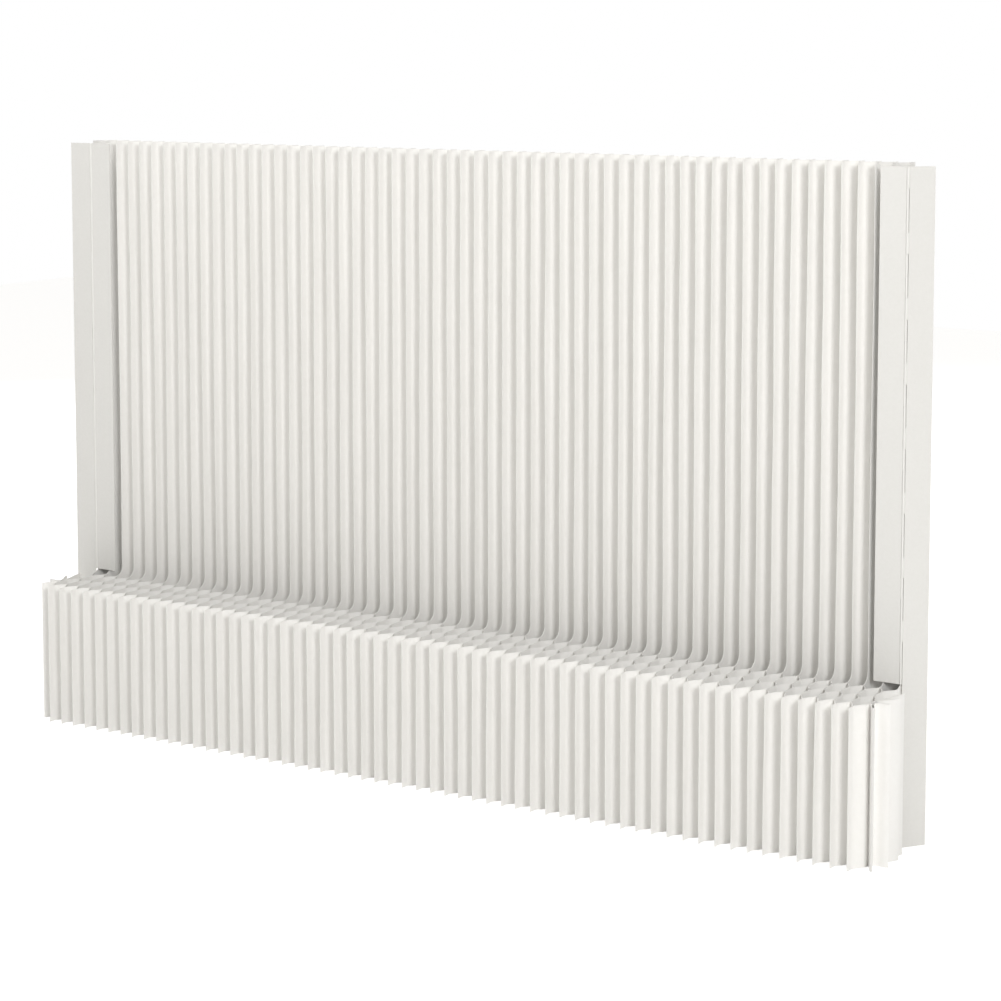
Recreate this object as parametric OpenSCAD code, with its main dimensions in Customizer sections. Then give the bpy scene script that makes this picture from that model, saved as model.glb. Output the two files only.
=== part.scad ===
// Expandable paper screen with a ledge: L-shaped paper leaves glued in a honeycomb, with a board and
// a flap hinged together at each end. Millimetres; origin at the middle of the base, +X along
// the screen, +Y to the back, +Z up.

/* [Screen] */
// Height of the wall
wall_h = 1830; // [1500:10:2100]
// Height of the ledge at the foot of the wall
ledge_h = 435; // [350:5:600]
// Depth from one glue line of a leaf to the next: the ledge is three deep, the wall one
bay = 90; // [70:1:100]
// Distance from one pleat to the next along the opened screen
pitch = 48.7; // [40:0.1:56]
// Number of sections of two pleats
sections = 29; // [29:1:29]

/* [Leaves] */
// Thickness of a sheet of paper
sheet_t = 0.6; // [0.4:0.1:1]
// Thickness of the film of glue between two sheets
glue_t = 0.1; // [0.05:0.05:0.2]
// Width of the flat strip that is glued
glue_w = 40; // [20:1:50]
// Radius of the inner corner between the wall and the ledge
fillet_r = 30; // [10:1:50]

/* [Corner fans] */
// Reach of the fan's fins from the last glue line, from front to back
fin_reach = [66, 51, 89, 130]; // [45:0.1:140]
// Direction of those fins, measured from the length of the screen
fin_angles = [-63, 2, 59, 75]; // [-70:0.1:80]
// Distance of the folds between the fins from the last glue line
fold_reach = 14; // [11:1:20]

/* [End strips] */
// Thickness of the strip glued to the last leaf at each end
strip_t = 3; // [2.4:0.1:5]
// Width of that strip
strip_w = 18; // [14:1:30]

/* [Boards] */
// Thickness of an end board
board_t = 3; // [2.4:0.1:4]
// Width of an end board
board_w = 82; // [60:1:90]
// Directions in which the left and the right board stand, backward, measured from the screen's length
board_turns = [0, 55]; // [-35:1:60]
// Distance from the top of the paper down to the top of a board or a flap
board_drop = 8; // [2:1:20]
// Clearance between a board and the eyes of its hinge when it is turned back
board_clear = 1; // [0.8:0.1:3]

/* [Flaps] */
// Thickness of a flap
flap_t = 3; // [2.4:0.1:5]
// Width of a flap, which lies in front of the last pleats
flap_w = 78; // [50:1:80]
// Clearance under a flap, above the fillets
flap_foot = 2; // [1:0.5:6]

/* [Hinges] */
// Diameter of a hinge rod
rod_d = 3; // [2:0.1:4]
// Wall of a knuckle round the rod
knuckle_wall = 1.4; // [1:0.1:2]
// Radial clearance of a knuckle on the rod
rod_clear = 0.05; // [0.02:0.01:0.1]
// Number of knuckle groups on a hinge: an eye, a sleeve of the flap and a sleeve of the board
knuckles = 8; // [4:1:12]
// Clearance between two knuckles, and between a knuckle and what stands beside it
knuckle_gap = 0.5; // [0.3:0.1:1]
// Thickness of a hinge leaf
leaf_t = 1; // [0.8:0.1:1.5]
// Width of a hinge leaf inside the flap, the board or the strip
leaf_w = 12; // [10:1:13]
// Distance that the eyes hold the knuckles in front of the strip
stand_off = 6; // [0:0.5:12]

/* [Hidden] */
$fn = 32;

// Pleats of one section, and the numbers of the first and last pleat, counted from the middle
section_pleats = 2;
last_pleat = (sections * section_pleats - 1) / 2;
// Straight pieces that one bay of a leaf's wave is made of
wave_steps = 4;
// Straight pieces in the fillet
fillet_steps = 6;
ledge_bays = 3;
wall_bays = 1;
depth = (ledge_bays + wall_bays) * bay;
ledge_y = -depth / 2;
wall_y = ledge_y + ledge_bays * bay;
past = 1;

// The hinge axis of an end, in front of the strip glued to the last leaf
end_x = (last_pleat + 0.5) * pitch + glue_t / 2;
knuckle_r = rod_d / 2 + rod_clear + knuckle_wall;
flap_edge = knuckle_r + knuckle_gap;
board_edge = flap_edge + board_clear;
axis_x = end_x + strip_t / 2;
axis_y = wall_y - flap_edge - stand_off;
// A flap ends above the fillets, where they come forward under its back face
flap_back = wall_y - axis_y - flap_t / 2;
fillet_rise = fillet_r - sqrt(pow(fillet_r, 2) - pow(fillet_r - min(fillet_r, flap_back), 2));
flap_z = ledge_h + fillet_rise + flap_foot;
board_h = wall_h - board_drop;
flap_h = board_h - flap_z;
knuckle_pitch = flap_h / knuckles;
knuckle_l = knuckle_pitch / 3 - knuckle_gap;

// The boards stand at different angles, and a fan can reach further out than a board that is turned
// back: this puts the origin midway between what reaches furthest at each end
fan_reach = max([for (i = [0 : len(fin_reach) - 1]) fin_reach[i] * cos(fin_angles[i])]);
function end_reach(turn) =
    max(axis_x - end_x + board_w * cos(turn) + board_t / 2 * abs(sin(turn)), fan_reach);
middle = (end_reach(board_turns[0]) - end_reach(board_turns[1])) / 2;

// ---- Paper leaves ----

// Half the opening of a pleat at a depth counted from a glued edge, from its glue film to its bulge
function swell(depth) =
    let (from_tip = abs((depth + bay) % (2 * bay) - bay),
         share = min(1, max(0, (from_tip - glue_w / 2) / (bay - glue_w))))
    glue_t / 2 + (pitch / 2 - glue_t - sheet_t) * (1 - cos(180 * share)) / 2;

// Depths at which the wave has a corner, over a number of bays
function wave_depths(bays) = [
    0,
    for (b = [0 : bays - 1], s = [0 : wave_steps])
        b * bay + glue_w / 2 + (bay - glue_w) * s / wave_steps,
    bays * bay
];

// Plan of the right-hand sheet of the pleat at x = 0, from a front depth to a back depth
module sheet_plan(front, bays) {
    depths = wave_depths(bays);
    polygon([
        for (d = depths) [swell(d), front + d],
        for (i = [len(depths) - 1 : -1 : 0]) [swell(depths[i]) + sheet_t, front + depths[i]]
    ]);
}

// Side view of a leaf as [y, z]: the wall, the ledge and the fillet between them
module leaf_profile() {
    polygon([
        [ledge_y, 0], [ledge_y + depth, 0], [ledge_y + depth, wall_h], [wall_y, wall_h],
        for (i = [0 : fillet_steps])
            let (turn = 90 * i / fillet_steps)
                [wall_y + fillet_r * (cos(turn) - 1), ledge_h + fillet_r * (1 - sin(turn))],
        [ledge_y, ledge_h]
    ]);
}

// One L-shaped sheet of the pleat at x = 0: side is 1 for the right-hand sheet, -1 for the left-hand one
module leaf(side) {
    intersection() {
        scale_side(side) linear_extrude(wall_h) sheet_plan(ledge_y, ledge_bays + wall_bays);
        rotate([90, 0, 90])
            linear_extrude(pitch + 2 * past, center = true) leaf_profile();
    }
}

// Mirrors what stands on the right to the left, for a side of -1
module scale_side(side) {
    if (side < 0) mirror([1, 0, 0]) children();
    else children();
}

module pleats(section) {
    first = (section - 1) * section_pleats - last_pleat;
    color([0.96, 0.95, 0.92])
        for (k = [first : first + section_pleats - 1], side = [-1, 1])
            translate([k * pitch, 0, 0]) leaf(side);
}

// ---- Corner fans ----

// A point of the fan in plan, from the last glue line of the ledge
function fan_point(reach, angle) = reach * [cos(angle), sin(angle)];

// A closed outline drawn in by a thickness, with mitred corners
function drawn_in(outline, t) =
    let (n = len(outline))
        [for (i = [0 : n - 1])
            let (before = outline[i] - outline[(i + n - 1) % n],
                 after = outline[(i + 1) % n] - outline[i],
                 in_before = [-before[1], before[0]] / norm(before),
                 in_after = [-after[1], after[0]] / norm(after))
                outline[i] + t * (in_before + in_after) / (1 + in_before * in_after)];

// One low sheet folded to and fro and closed on itself, glued to the last bulge of the ledge
module corner_fan(end) {
    fins = len(fin_reach);
    folds = [
        [0, -fold_reach],
        for (i = [0 : fins - 1]) each [
            fan_point(fin_reach[i], fin_angles[i]),
            if (i < fins - 1) fan_point(fold_reach, (fin_angles[i] + fin_angles[i + 1]) / 2)
        ],
        [0, fold_reach]
    ];
    color([0.96, 0.95, 0.92])
        scale_side(end)
            translate([end_x, ledge_y + bay, 0])
                difference() {
                    linear_extrude(ledge_h) polygon(folds);
                    translate([0, 0, -past])
                        linear_extrude(ledge_h + 2 * past) polygon(drawn_in(folds, sheet_t));
                }
}

// ---- Hinges: drawn with the axis at the origin and the hinged piece towards +X ----

// Start of a knuckle: part 0 is an eye of the strip, 1 a sleeve of the flap, 2 a sleeve of the board
function knuckle_z(i, part) =
    flap_z + knuckle_pitch * (i + part / 3) + knuckle_gap / 2;

// Places a hinged piece at one end, turned backward from the length of the screen
module on_hinge(end, turn) {
    scale_side(end)
        translate([axis_x, axis_y, 0]) rotate([0, 0, turn]) children();
}

function board_turn(end) = board_turns[end < 0 ? 0 : 1];
flap_turn = 180;
strip_turn = 90;

// The knuckles of one part, each with a leaf that reaches a given distance from the axis
module knuckles_with_leaves(part, reach) {
    color([0.72, 0.72, 0.73])
        for (i = [0 : knuckles - 1])
            translate([0, 0, knuckle_z(i, part)])
                difference() {
                    union() {
                        cylinder(r = knuckle_r, h = knuckle_l);
                        translate([0, -leaf_t / 2, 0]) cube([reach, leaf_t, knuckle_l]);
                    }
                    translate([0, 0, -past])
                        cylinder(d = rod_d + 2 * rod_clear, h = knuckle_l + 2 * past);
                }
}

module hinge_eyes(end) {
    on_hinge(end, strip_turn) knuckles_with_leaves(0, flap_edge + stand_off + leaf_w);
}

module flap_sleeves(end) {
    on_hinge(end, flap_turn) knuckles_with_leaves(1, flap_edge + leaf_w);
}

module board_sleeves(end) {
    on_hinge(end, board_turn(end)) knuckles_with_leaves(2, board_edge + leaf_w);
}

module hinge_rod(end) {
    color([0.72, 0.72, 0.73])
        on_hinge(end, 0) translate([0, 0, flap_z]) cylinder(d = rod_d, h = flap_h);
}

// ---- Strips, flaps and boards ----

// An upright panel from one distance from the axis to another, slotted for the leaves of its knuckles
module panel(part, near, far, thick, foot) {
    color([0.90, 0.89, 0.87])
        difference() {
            translate([near, -thick / 2, foot]) cube([far - near, thick, board_h - foot]);
            for (i = [0 : knuckles - 1])
                translate([near - past, -leaf_t / 2, knuckle_z(i, part)])
                    cube([leaf_w + past, leaf_t, knuckle_l]);
        }
}

module strip(end) {
    near = flap_edge + stand_off;
    on_hinge(end, strip_turn) panel(0, near, near + strip_w, strip_t, 0);
}

module flap(end) {
    on_hinge(end, flap_turn) panel(1, flap_edge, flap_w, flap_t, flap_z);
}

module board(end) {
    on_hinge(end, board_turn(end)) panel(2, board_edge, board_w, board_t, 0);
}

translate([middle, 0, 0]) {
    strip(-1);  // left_strip
    strip(1);  // right_strip
    hinge_eyes(-1);  // left_hinge_eyes
    hinge_eyes(1);  // right_hinge_eyes
    hinge_rod(-1);  // left_hinge_rod
    hinge_rod(1);  // right_hinge_rod
    flap_sleeves(-1);  // left_flap_sleeves
    flap_sleeves(1);  // right_flap_sleeves
    board_sleeves(-1);  // left_board_sleeves
    board_sleeves(1);  // right_board_sleeves
    flap(-1);  // left_flap
    flap(1);  // right_flap
    board(-1);  // left_board
    board(1);  // right_board
    corner_fan(-1);  // left_corner_fan
    corner_fan(1);  // right_corner_fan
    pleats(1);  // pleats_01
    pleats(2);  // pleats_02
    pleats(3);  // pleats_03
    pleats(4);  // pleats_04
    pleats(5);  // pleats_05
    pleats(6);  // pleats_06
    pleats(7);  // pleats_07
    pleats(8);  // pleats_08
    pleats(9);  // pleats_09
    pleats(10);  // pleats_10
    pleats(11);  // pleats_11
    pleats(12);  // pleats_12
    pleats(13);  // pleats_13
    pleats(14);  // pleats_14
    pleats(15);  // pleats_15
    pleats(16);  // pleats_16
    pleats(17);  // pleats_17
    pleats(18);  // pleats_18
    pleats(19);  // pleats_19
    pleats(20);  // pleats_20
    pleats(21);  // pleats_21
    pleats(22);  // pleats_22
    pleats(23);  // pleats_23
    pleats(24);  // pleats_24
    pleats(25);  // pleats_25
    pleats(26);  // pleats_26
    pleats(27);  // pleats_27
    pleats(28);  // pleats_28
    pleats(29);  // pleats_29
}
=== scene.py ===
"""Expandable paper screen: L-shaped paper leaves glued in a honeycomb, with a low ledge at the foot
of a tall pleated wall, a board and a flap hinged at each end and a fan of folds round each end of
the ledge."""
import math

import bpy
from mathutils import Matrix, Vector

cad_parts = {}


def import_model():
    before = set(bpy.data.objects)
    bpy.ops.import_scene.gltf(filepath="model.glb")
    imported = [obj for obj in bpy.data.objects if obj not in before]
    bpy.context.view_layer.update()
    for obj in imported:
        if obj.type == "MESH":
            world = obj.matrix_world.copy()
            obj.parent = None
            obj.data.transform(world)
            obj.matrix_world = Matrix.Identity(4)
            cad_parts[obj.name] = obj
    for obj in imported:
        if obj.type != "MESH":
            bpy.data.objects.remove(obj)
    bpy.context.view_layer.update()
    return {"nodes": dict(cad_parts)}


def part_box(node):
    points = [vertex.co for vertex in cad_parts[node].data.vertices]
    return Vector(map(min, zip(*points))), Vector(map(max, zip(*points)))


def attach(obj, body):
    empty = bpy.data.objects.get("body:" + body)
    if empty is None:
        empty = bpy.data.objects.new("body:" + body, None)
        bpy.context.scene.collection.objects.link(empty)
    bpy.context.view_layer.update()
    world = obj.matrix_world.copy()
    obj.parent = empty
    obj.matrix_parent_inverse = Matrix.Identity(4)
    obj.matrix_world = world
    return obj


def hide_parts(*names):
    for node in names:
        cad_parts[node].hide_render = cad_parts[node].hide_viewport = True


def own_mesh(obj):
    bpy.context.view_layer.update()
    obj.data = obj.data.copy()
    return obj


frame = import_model()

# ---- Sizes, in metres ----

MM = 0.001

# Worked out from the frame, where the leaves stand in sections of two pleats, side by side along X
SECTIONS = sorted(name for name in frame["nodes"] if name.startswith("pleats_"))
SECTION_PLEATS = 2
LEDGE_BAYS, WALL_BAYS = 3, 1
FIRST_LOW, FIRST_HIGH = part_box(SECTIONS[0])
LAST_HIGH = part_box(SECTIONS[-1])[1]
PITCH = (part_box(SECTIONS[1])[0].x - FIRST_LOW.x) / SECTION_PLEATS
BAY = (FIRST_HIGH.y - FIRST_LOW.y) / (LEDGE_BAYS + WALL_BAYS)
LEDGE_Y = FIRST_LOW.y
WALL_Y = LEDGE_Y + LEDGE_BAYS * BAY
LEDGE_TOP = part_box("left_corner_fan")[1].z
WALL_TOP = FIRST_HIGH.z

# The paper, the film of glue between two sheets, the width of a glued strip, and the round corner
# between ledge and wall
PAPER = 0.6 * MM
GLUE = 0.1 * MM
GLUED = 40 * MM
FILLET = 30 * MM
CORNER_TOP = LEDGE_TOP + FILLET

# Middle of the row of leaves, and its two ends, where the end strips and the fans are glued on
MIDDLE = (FIRST_LOW.x + LAST_HIGH.x) / 2
HALF_ROW = (LAST_HIGH.x - FIRST_LOW.x + GLUE) / 2
ENDS = {"left": MIDDLE - HALF_ROW, "right": MIDDLE + HALF_ROW}

# Paper that was pulled open by hand sways to and fro by a few millimetres. The noise behind it
# keeps within about a third of SWAY, and changes more slowly with depth and height than along the
# row. It fades out over the last pleats before the stiff strips at the ends.
SWAY = 9 * MM
SWAY_WAVE = 62.5 * MM
SWAY_CHANGE = (1.0, 0.9, 0.12)
FADE_PLEATS = 3

# A fan's folds, seen from above: how far its tips stand out from the hub and at what angles, where
# the folds between them lie, and how far the paper bows on its way from one to the next
FIN_REACH = (66 * MM, 51 * MM, 89 * MM, 130 * MM)
FIN_ANGLES = (-63, 2, 59, 75)
FOLD_REACH = 14 * MM
FIN_BOW = 2.2 * MM

# Edges that turn by more than this are folds, and stay sharp where the paper is shaded smooth
FOLD_ANGLE = math.radians(40)
# Points that lie within this distance of each other are merged
SEAM = 0.01 * MM


# ---- Materials ----

def linear(hex_colour):
    """An sRGB hex colour as the linear RGBA that Blender's sockets take."""
    channels = [int(hex_colour[i:i + 2], 16) / 255 for i in (1, 3, 5)]
    return [c / 12.92 if c <= 0.04045 else ((c + 0.055) / 1.055) ** 2.4 for c in channels] + [1.0]


def add(tree, kind, *values, **named):
    """Adds a node. Lower-case names are its settings. The other values fill its inputs in order or
    by name: each is a plain value, an output, or a node, which stands for its first output."""
    node = tree.nodes.new(kind)
    for name, value in named.items():
        if name.islower():
            setattr(node, name, value)
    inputs = dict(enumerate(values))
    inputs.update((name.replace("_", " "), value) for name, value in named.items()
                  if not name.islower())
    for key, value in inputs.items():
        if isinstance(value, bpy.types.Node):
            value = value.outputs[0]
        if isinstance(value, bpy.types.NodeSocket):
            tree.links.new(value, node.inputs[key])
        else:
            node.inputs[key].default_value = value
    return node


def new_material(name, roughness, ior):
    """A Principled material with nothing linked yet."""
    material = bpy.data.materials.new(name)
    material.use_nodes = True
    tree = material.node_tree
    surface = tree.nodes["Principled BSDF"]
    surface.inputs["Roughness"].default_value = roughness
    surface.inputs["IOR"].default_value = ior
    return material, tree, surface


def bleached_kraft_paper():
    """Bleached kraft paper, calendered: matt, warm white, with faint cloudy formation and fibres."""
    material, tree, surface = new_material("bleached_kraft_paper", roughness=0.82, ior=1.5)
    place = add(tree, "ShaderNodeTexCoord").outputs["Object"]
    # Where the pulp settled more thickly: soft clouds 18 mm across
    clouds = add(tree, "ShaderNodeTexNoise", Vector=place, Scale=1 / (18 * MM), Detail=4.0,
                 Roughness=0.6)
    # The fibres run mostly upright. Real ones are 2 mm long and thinner than a hair; these are
    # drawn 7.5 mm long and 1.2 mm wide, so that they show.
    fibre_width, fibre_length = 1.2 * MM, 7.5 * MM
    along = add(tree, "ShaderNodeMapping", Vector=place, Scale=(1.0, 1.0, fibre_width / fibre_length))
    fibres = add(tree, "ShaderNodeTexNoise", Vector=along, Scale=1 / fibre_width, Detail=3.0,
                 Roughness=0.7)
    tone = add(tree, "ShaderNodeMix", data_type="RGBA", Factor=clouds,
               A=linear("#F5F4F1"), B=linear("#FBFAF8")).outputs["Result"]
    warmth = add(tree, "ShaderNodeMapRange", Value=fibres, From_Min=0.35, From_Max=0.7, To_Max=0.16)
    colour = add(tree, "ShaderNodeMix", data_type="RGBA", Factor=warmth,
                 A=tone, B=linear("#ECE9E2")).outputs["Result"]
    bump = add(tree, "ShaderNodeBump", Strength=0.12, Distance=0.15 * MM, Height=fibres)
    tree.links.new(colour, surface.inputs["Base Color"])
    tree.links.new(bump.outputs["Normal"], surface.inputs["Normal"])
    return material


def pressed_felt_board():
    """Stiff pressed wool felt: very matt, pale warm grey, mottled by its matted fibres."""
    material, tree, surface = new_material("pressed_felt_board", roughness=0.95, ior=1.45)
    place = add(tree, "ShaderNodeTexCoord").outputs["Object"]
    # Patches of denser felt, 9 mm across
    mottle = add(tree, "ShaderNodeTexNoise", Vector=place, Scale=1 / (9 * MM), Detail=5.0,
                 Roughness=0.65)
    # Wool is 0.03 mm thick, so its hairs are drawn as tufts of 1 mm, the finest that shows
    tufts = add(tree, "ShaderNodeTexNoise", Vector=place, Scale=1 / (1.0 * MM), Detail=4.0,
                Roughness=0.7)
    tone = add(tree, "ShaderNodeMix", data_type="RGBA", Factor=mottle,
               A=linear("#E6E5E1"), B=linear("#EEEDEA")).outputs["Result"]
    shade = add(tree, "ShaderNodeMapRange", Value=tufts, From_Min=0.3, From_Max=0.7, To_Max=0.25)
    colour = add(tree, "ShaderNodeMix", data_type="RGBA", Factor=shade,
                 A=tone, B=linear("#DCDAD5")).outputs["Result"]
    bump = add(tree, "ShaderNodeBump", Strength=0.3, Distance=0.3 * MM, Height=tufts)
    tree.links.new(colour, surface.inputs["Base Color"])
    tree.links.new(bump.outputs["Normal"], surface.inputs["Normal"])
    return material


def powder_coated_steel():
    """Powder coat on steel: satin, pale warm grey, with the fine orange peel of the baked powder."""
    material, tree, surface = new_material("powder_coated_steel", roughness=0.5, ior=1.5)
    place = add(tree, "ShaderNodeTexCoord").outputs["Object"]
    # The dimples of the orange peel are 0.8 mm across
    peel = add(tree, "ShaderNodeTexNoise", Vector=place, Scale=1 / (0.8 * MM), Detail=2.0)
    colour = add(tree, "ShaderNodeMix", data_type="RGBA", Factor=peel,
                 A=linear("#EBEAE6"), B=linear("#F2F1EE")).outputs["Result"]
    bump = add(tree, "ShaderNodeBump", Strength=0.15, Distance=0.05 * MM, Height=peel)
    tree.links.new(colour, surface.inputs["Base Color"])
    tree.links.new(bump.outputs["Normal"], surface.inputs["Normal"])
    return material


PAPER_FINISH = bleached_kraft_paper()
FELT_FINISH = pressed_felt_board()
HINGE_FINISH = powder_coated_steel()


# ---- Meshes ----

def new_piece(name, points, faces):
    """An object in the scene with a mesh of these points and faces."""
    mesh = bpy.data.meshes.new(name)
    mesh.from_pydata(points, [], faces)
    piece = bpy.data.objects.new(name, mesh)
    bpy.context.scene.collection.objects.link(piece)
    return piece


def applied(piece):
    """Turns a piece with live modifiers into a plain mesh, and removes the modifiers."""
    bpy.context.view_layer.update()
    mesh = bpy.data.meshes.new_from_object(piece.evaluated_get(bpy.context.evaluated_depsgraph_get()))
    mesh.name = piece.name
    piece.modifiers.clear()
    piece.data = mesh
    return piece


def smooth_between_folds(piece):
    """Shades a piece smooth, and keeps its folds sharp."""
    for polygon in piece.data.polygons:
        polygon.use_smooth = True
    piece.data.set_sharp_from_angle(angle=FOLD_ANGLE)


def cover(piece, finish):
    """Gives the whole piece one finish."""
    piece.data.materials.clear()
    piece.data.materials.append(finish)


# ---- Paper leaves ----

def foot_top(y):
    """How high the lower part of a leaf is at a depth: the ledge, the round corner, and the corner's
    upper end, where the stem of the wall begins."""
    if y >= WALL_Y:
        return CORNER_TOP
    if y <= WALL_Y - FILLET:
        return LEDGE_TOP
    return CORNER_TOP - math.sqrt(FILLET ** 2 - (y - WALL_Y + FILLET) ** 2)


def flat_leaf(name):
    """A flat leaf in the Y-Z plane as a sheet of quads: the lower part, from the ledge's front to
    the back of the wall, and the stem above it."""
    ledge_steps, corner_steps, stem_steps = 40, 6, 14
    low_rows, high_rows = 7, 14
    ledge_run = WALL_Y - FILLET - LEDGE_Y
    ledge = [LEDGE_Y + ledge_run * i / ledge_steps for i in range(ledge_steps)]
    corner = [WALL_Y + FILLET * (math.cos(math.pi / 2 * (1 - i / corner_steps)) - 1)
              for i in range(corner_steps)]
    stem = [WALL_Y + WALL_BAYS * BAY * i / stem_steps for i in range(stem_steps + 1)]
    depths = ledge + corner + stem

    points = [(0.0, y, foot_top(y) * row / low_rows) for y in depths for row in range(low_rows + 1)]
    stem_start = len(points)
    points += [(0.0, y, CORNER_TOP + (WALL_TOP - CORNER_TOP) * row / high_rows)
               for y in stem for row in range(1, high_rows + 1)]

    def low(i, row):
        return i * (low_rows + 1) + row

    def high(i, row):
        if row == 0:
            return low(len(ledge + corner) + i, low_rows)
        return stem_start + i * high_rows + row - 1

    faces = [(at(i, row), at(i + 1, row), at(i + 1, row + 1), at(i, row + 1))
             for at, columns, rows in ((low, depths, low_rows), (high, stem, high_rows))
             for i in range(len(columns) - 1) for row in range(rows)]
    return new_piece(name, points, faces)


def pleating_tree():
    """Geometry Nodes: repeats a flat leaf in glued pairs, swells each pair into a pleat between its
    glue lines, and gives the row the slight unevenness of paper that was pulled open by hand."""
    tree = bpy.data.node_groups.new("pleated_leaves", "GeometryNodeTree")
    sizes = ("First pleat", "Pitch", "Front", "Bay", "Glued strip", "Glue", "Paper",
             "Middle", "Half row", "Fade length", "Sway", "Sway wave")
    kinds = {"Leaf": "Geometry", **{name: "Float" for name in sizes}, "Pleats": "Int",
             "Finish": "Material"}
    for name, kind in kinds.items():
        tree.interface.new_socket(name, in_out="INPUT", socket_type="NodeSocket" + kind)
    tree.interface.new_socket("Row", in_out="OUTPUT", socket_type="NodeSocketGeometry")
    given = tree.nodes.new("NodeGroupInput").outputs

    # A leaf lies flat at its glued strips. They are one bay apart in depth, and tie it to its pair
    # and to the next pair by turns. The share says how far a point is on the way from the nearest
    # strip of its own pair (0) to the nearest one of the next pair (1).
    depth = add(tree, "ShaderNodeSeparateXYZ", add(tree, "GeometryNodeInputPosition")).outputs["Y"]
    from_front = add(tree, "ShaderNodeMath", depth, given["Front"], operation="SUBTRACT")
    from_strip = add(tree, "ShaderNodeMath", from_front, given["Bay"], operation="PINGPONG")
    half_strip = add(tree, "ShaderNodeMath", given["Glued strip"], 2.0, operation="DIVIDE")
    beyond = add(tree, "ShaderNodeMath", from_strip, half_strip, operation="SUBTRACT")
    span = add(tree, "ShaderNodeMath", given["Bay"], given["Glued strip"], operation="SUBTRACT")
    share = add(tree, "ShaderNodeMath", beyond, span, operation="DIVIDE", use_clamp=True)

    # The swell rises in half a cosine wave, from half a film of glue to where the outer side of the
    # paper is half a film short of the next pair
    turn = add(tree, "ShaderNodeMath", share, math.pi, operation="MULTIPLY")
    cosine = add(tree, "ShaderNodeMath", turn, operation="COSINE")
    double_wave = add(tree, "ShaderNodeMath", 1.0, cosine, operation="SUBTRACT")
    wave = add(tree, "ShaderNodeMath", double_wave, 2.0, operation="DIVIDE")
    half_pitch = add(tree, "ShaderNodeMath", given["Pitch"], 2.0, operation="DIVIDE")
    room = add(tree, "ShaderNodeMath", half_pitch, given["Glue"], operation="SUBTRACT")
    most = add(tree, "ShaderNodeMath", room, given["Paper"], operation="SUBTRACT")
    bulge = add(tree, "ShaderNodeMath", wave, most, operation="MULTIPLY")
    half_glue = add(tree, "ShaderNodeMath", given["Glue"], 2.0, operation="DIVIDE")
    swell = add(tree, "ShaderNodeMath", bulge, half_glue, operation="ADD")

    # The two leaves of a pair swell away from each other, and each gets the paper's thickness on
    # its outer side
    pair = add(tree, "GeometryNodeJoinGeometry")
    for side in (1.0, -1.0):
        out = add(tree, "ShaderNodeMath", swell, side, operation="MULTIPLY")
        bent = add(tree, "GeometryNodeSetPosition", Geometry=given["Leaf"],
                   Offset=add(tree, "ShaderNodeCombineXYZ", X=out))
        if side < 0:
            bent = add(tree, "GeometryNodeFlipFaces", Mesh=bent)
        inner = add(tree, "GeometryNodeFlipFaces", Mesh=bent)
        outer = add(tree, "GeometryNodeExtrudeMesh", mode="FACES", Mesh=bent, Individual=False,
                    Offset=add(tree, "ShaderNodeCombineXYZ", X=side), Offset_Scale=given["Paper"])
        faces = add(tree, "GeometryNodeJoinGeometry")
        for part in (outer, inner):
            tree.links.new(part.outputs["Mesh"], faces.inputs["Geometry"])
        sheet = add(tree, "GeometryNodeMergeByDistance", Geometry=faces, Distance=SEAM)
        tree.links.new(sheet.outputs["Geometry"], pair.inputs["Geometry"])

    row = add(tree, "GeometryNodeMeshLine", Count=given["Pleats"],
              Start_Location=add(tree, "ShaderNodeCombineXYZ", X=given["First pleat"]),
              Offset=add(tree, "ShaderNodeCombineXYZ", X=given["Pitch"]))
    repeated = add(tree, "GeometryNodeInstanceOnPoints", Points=row, Instance=pair)
    leaves = add(tree, "GeometryNodeRealizeInstances", Geometry=repeated)

    # One noise field runs over the whole screen, so that glued sheets move together
    place = add(tree, "GeometryNodeInputPosition")
    slowed = add(tree, "ShaderNodeVectorMath", place, SWAY_CHANGE, operation="MULTIPLY")
    frequency = add(tree, "ShaderNodeMath", 1.0, given["Sway wave"], operation="DIVIDE")
    noise = add(tree, "ShaderNodeTexNoise", Vector=slowed, Scale=frequency, Detail=1.0)
    lean = add(tree, "ShaderNodeMath", noise, 0.5, operation="SUBTRACT")
    x = add(tree, "ShaderNodeSeparateXYZ", place).outputs["X"]
    from_middle = add(tree, "ShaderNodeMath", x, given["Middle"], operation="SUBTRACT")
    off_middle = add(tree, "ShaderNodeMath", from_middle, operation="ABSOLUTE")
    from_end = add(tree, "ShaderNodeMath", given["Half row"], off_middle, operation="SUBTRACT")
    loose = add(tree, "ShaderNodeMath", from_end, given["Fade length"], operation="DIVIDE",
                use_clamp=True)
    loose_lean = add(tree, "ShaderNodeMath", lean, loose, operation="MULTIPLY")
    sway = add(tree, "ShaderNodeMath", loose_lean, given["Sway"], operation="MULTIPLY")
    uneven = add(tree, "GeometryNodeSetPosition", Geometry=leaves,
                 Offset=add(tree, "ShaderNodeCombineXYZ", X=sway))
    finished = add(tree, "GeometryNodeSetMaterial", Geometry=uneven, Material=given["Finish"])
    add(tree, "NodeGroupOutput", finished)
    return tree


PLEATING = pleating_tree()


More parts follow.
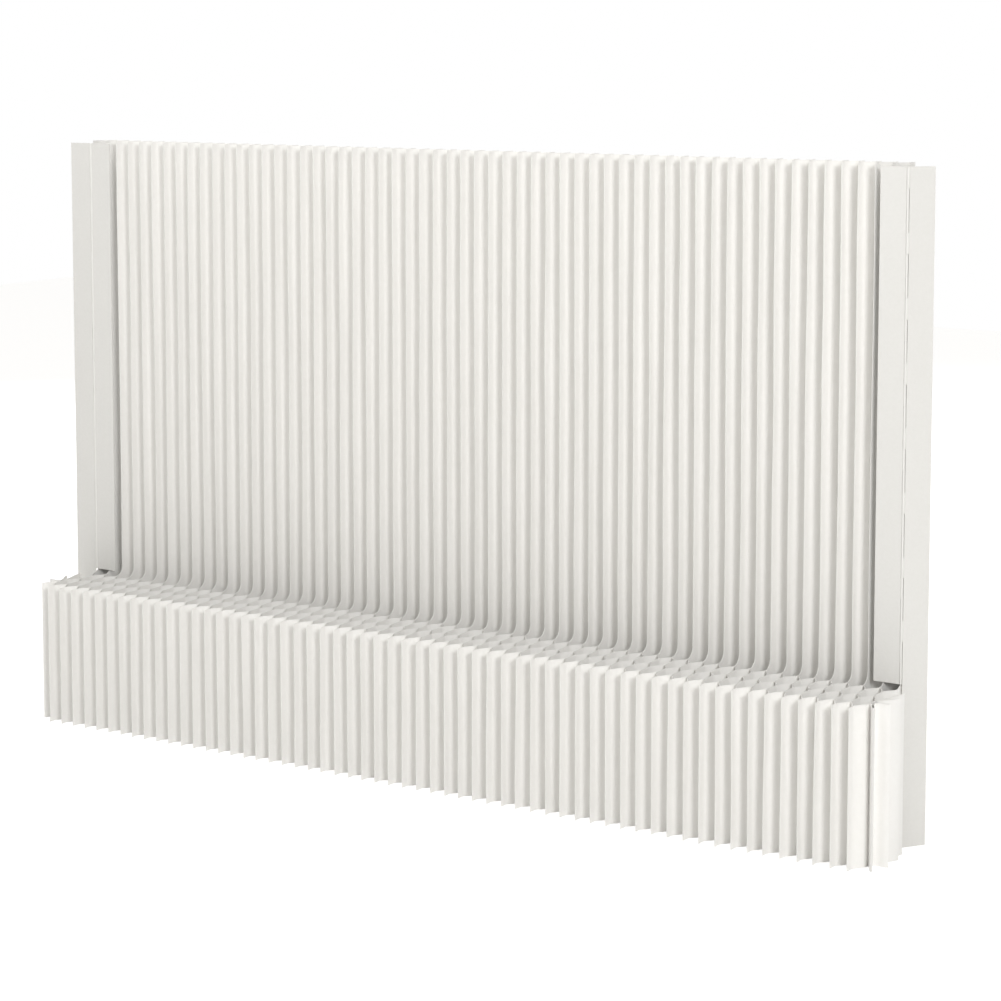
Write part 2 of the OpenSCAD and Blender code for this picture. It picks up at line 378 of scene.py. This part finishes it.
def pleated(name, first_pleat, pleats):
    """A row of glued pairs of leaves, from the x of its first pleat."""
    piece = flat_leaf(name)
    modifier = piece.modifiers.new("pleats", "NODES")
    modifier.node_group = PLEATING
    values = {"First pleat": first_pleat, "Pitch": PITCH, "Front": LEDGE_Y, "Bay": BAY,
              "Glued strip": GLUED, "Glue": GLUE, "Paper": PAPER, "Middle": MIDDLE,
              "Half row": HALF_ROW, "Fade length": FADE_PLEATS * PITCH, "Sway": SWAY,
              "Sway wave": SWAY_WAVE, "Pleats": pleats, "Finish": PAPER_FINISH}
    for item in PLEATING.interface.items_tree:
        if item.in_out == "INPUT" and item.name in values:
            modifier[item.identifier] = values[item.name]
    applied(piece)
    smooth_between_folds(piece)
    return piece


def make_sections():
    """The sections of L-shaped leaves: the first rides with the left end, the others each with their
    own section."""
    for name in SECTIONS:
        number = name.split("_")[1]
        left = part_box(name)[0].x - GLUE / 2
        piece = pleated("leaves_" + number, left + PITCH / 2, SECTION_PLEATS)
        first = name == SECTIONS[0]
        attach(piece, "left_end" if first else "section_" + number)
        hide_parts(name)
        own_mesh(piece)


# ---- Corner fans ----

def polar(reach, degrees):
    """A point in plan, at a distance and an angle from the fan's hub."""
    return Vector((reach * math.cos(math.radians(degrees)), reach * math.sin(math.radians(degrees))))


def fan_outline():
    """The folded sheet in plan, from fold to tip to fold. Paper leaves a fold in a shallow S."""
    steps = 8
    tips = [polar(reach, angle) for reach, angle in zip(FIN_REACH, FIN_ANGLES)]
    folds = [Vector((0.0, -FOLD_REACH))]
    folds += [polar(FOLD_REACH, (a + b) / 2) for a, b in zip(FIN_ANGLES, FIN_ANGLES[1:])]
    folds += [Vector((0.0, FOLD_REACH))]
    points = []
    for i, tip in enumerate(tips):
        for start, end, way in ((folds[i], tip, 1), (tip, folds[i + 1], -1)):
            run = end - start
            normal = Vector((-run.y, run.x)).normalized()
            for step in range(steps):
                share = step / steps
                bow = FIN_BOW * math.sin(2 * math.pi * share) * way
                points.append(start + run * share + normal * bow)
    points.append(folds[-1])
    return points


def corner_fan(end):
    """The closed strip of paper round the end of the ledge, as a thin upright band."""
    rows = 6
    outline = fan_outline()
    side = 1 if end == "right" else -1
    hub = Vector((ENDS[end] + side * GLUE / 2, LEDGE_Y + BAY))
    points = [(hub.x + side * p.x, hub.y + p.y, LEDGE_TOP * row / rows)
              for p in outline for row in range(rows + 1)]
    faces = []
    for i in range(len(outline)):
        a, b = i * (rows + 1), (i + 1) % len(outline) * (rows + 1)
        for row in range(rows):
            quad = (a + row, b + row, b + row + 1, a + row + 1)
            faces.append(quad if side > 0 else quad[::-1])
    piece = new_piece(end + "_fan", points, faces)
    wall = piece.modifiers.new("paper", "SOLIDIFY")
    wall.thickness, wall.offset = PAPER, -1.0
    applied(piece)
    cover(piece, PAPER_FINISH)
    smooth_between_folds(piece)
    return piece


def make_corner_fans():
    """The two fans, each riding with the end on its side."""
    for end in ("left", "right"):
        piece = corner_fan(end)
        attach(piece, end + "_end")
        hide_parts(end + "_corner_fan")
        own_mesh(piece)


# ---- Boards, flaps and hinges keep their shape from the frame ----

def finish_nodes():
    """Felt on the stiff pieces at the ends, and powder coat on their hinges."""
    finishes = {"board": FELT_FINISH, "flap": FELT_FINISH, "strip": FELT_FINISH,
                "hinge_eyes": HINGE_FINISH, "hinge_rod": HINGE_FINISH, "sleeves": HINGE_FINISH}
    for name, node in frame["nodes"].items():
        for ending, finish in finishes.items():
            if name.endswith(ending):
                cover(node, finish)


# ---- Studio ----

def camera():
    """The camera stands to the right of the screen, above its top, and looks slightly down."""
    place = (MIDDLE + 4.279, -6.263, 2.155)
    down, left = math.radians(5.67), math.radians(33.09)
    data = bpy.data.cameras.new("camera")
    data.sensor_width, data.lens = 36, 94.93
    data.shift_y = -0.2
    data.clip_end = 100
    view = bpy.data.objects.new("camera", data)
    view.location = place
    view.rotation_euler = (math.pi / 2 - down, 0, left)
    bpy.context.scene.collection.objects.link(view)
    bpy.context.scene.camera = view


def lamp(name, place, target, size, watts):
    """A soft square white lamp that looks at a point."""
    data = bpy.data.lights.new(name, "AREA")
    data.size, data.energy = size, watts
    light = bpy.data.objects.new(name, data)
    light.location = place
    light.rotation_euler = (Vector(target) - Vector(place)).to_track_quat("-Z", "Y").to_euler()
    bpy.context.scene.collection.objects.link(light)


def lamps():
    """The key lamp shines from the right, so that each pleat has a bright and a dark side. The top
    lamp lifts the ledge, and the back lamp the far side of the wall."""
    lamp("key", place=(7.3, -6.0, 4.4), target=(0, 0, 0.7), size=2.2, watts=355)
    lamp("top", place=(-0.5, -1.8, 4.6), target=(-0.2, 0, 0.4), size=3.0, watts=60)
    lamp("back", place=(-5.5, 6.0, 3.6), target=(0, 0, 0.8), size=2.2, watts=220)


def world():
    """Soft light from everywhere, and plain white where the camera, a reflection or a clear
    material looks past the screen."""
    sky = bpy.data.worlds.new("studio")
    bpy.context.scene.world = sky
    sky.use_nodes = True
    tree = sky.node_tree
    fill = tree.nodes["Background"]
    fill.inputs["Color"].default_value = linear("#FDFBF7")
    fill.inputs["Strength"].default_value = 0.45
    rays = add(tree, "ShaderNodeLightPath").outputs
    looks = add(tree, "ShaderNodeMath", rays["Is Camera Ray"], rays["Is Glossy Ray"],
                operation="MAXIMUM")
    looks = add(tree, "ShaderNodeMath", looks, rays["Is Transmission Ray"], operation="MAXIMUM")
    white = add(tree, "ShaderNodeBackground", Color=linear("#FFFFFF"), Strength=1.0)
    shown = add(tree, "ShaderNodeMixShader", looks, fill, white)
    tree.links.new(shown.outputs["Shader"], tree.nodes["World Output"].inputs["Surface"])


def floor():
    """A plain white floor, half a millimetre under the screen. The camera sees it brighter than it
    lights the paper, so that it melts into the white behind."""
    reach, drop, lift = 12.0, 0.5 * MM, 0.5
    corners = [(-reach, -reach, 0), (reach, -reach, 0), (reach, reach, 0), (-reach, reach, 0)]
    piece = new_piece("floor", corners, [(0, 1, 2, 3)])
    piece.location.z = -drop
    material, tree, surface = new_material("floor", roughness=0.9, ior=1.45)
    surface.inputs["Base Color"].default_value = linear("#FFFFFF")
    surface.inputs["Emission Color"].default_value = linear("#FFFFFF")
    seen = add(tree, "ShaderNodeLightPath").outputs["Is Camera Ray"]
    glow = add(tree, "ShaderNodeMath", seen, lift, operation="MULTIPLY")
    tree.links.new(glow.outputs["Value"], surface.inputs["Emission Strength"])
    cover(piece, material)


bpy.context.scene.view_settings.view_transform = "Standard"
camera()
make_sections()
make_corner_fans()
finish_nodes()
world()
floor()
lamps()
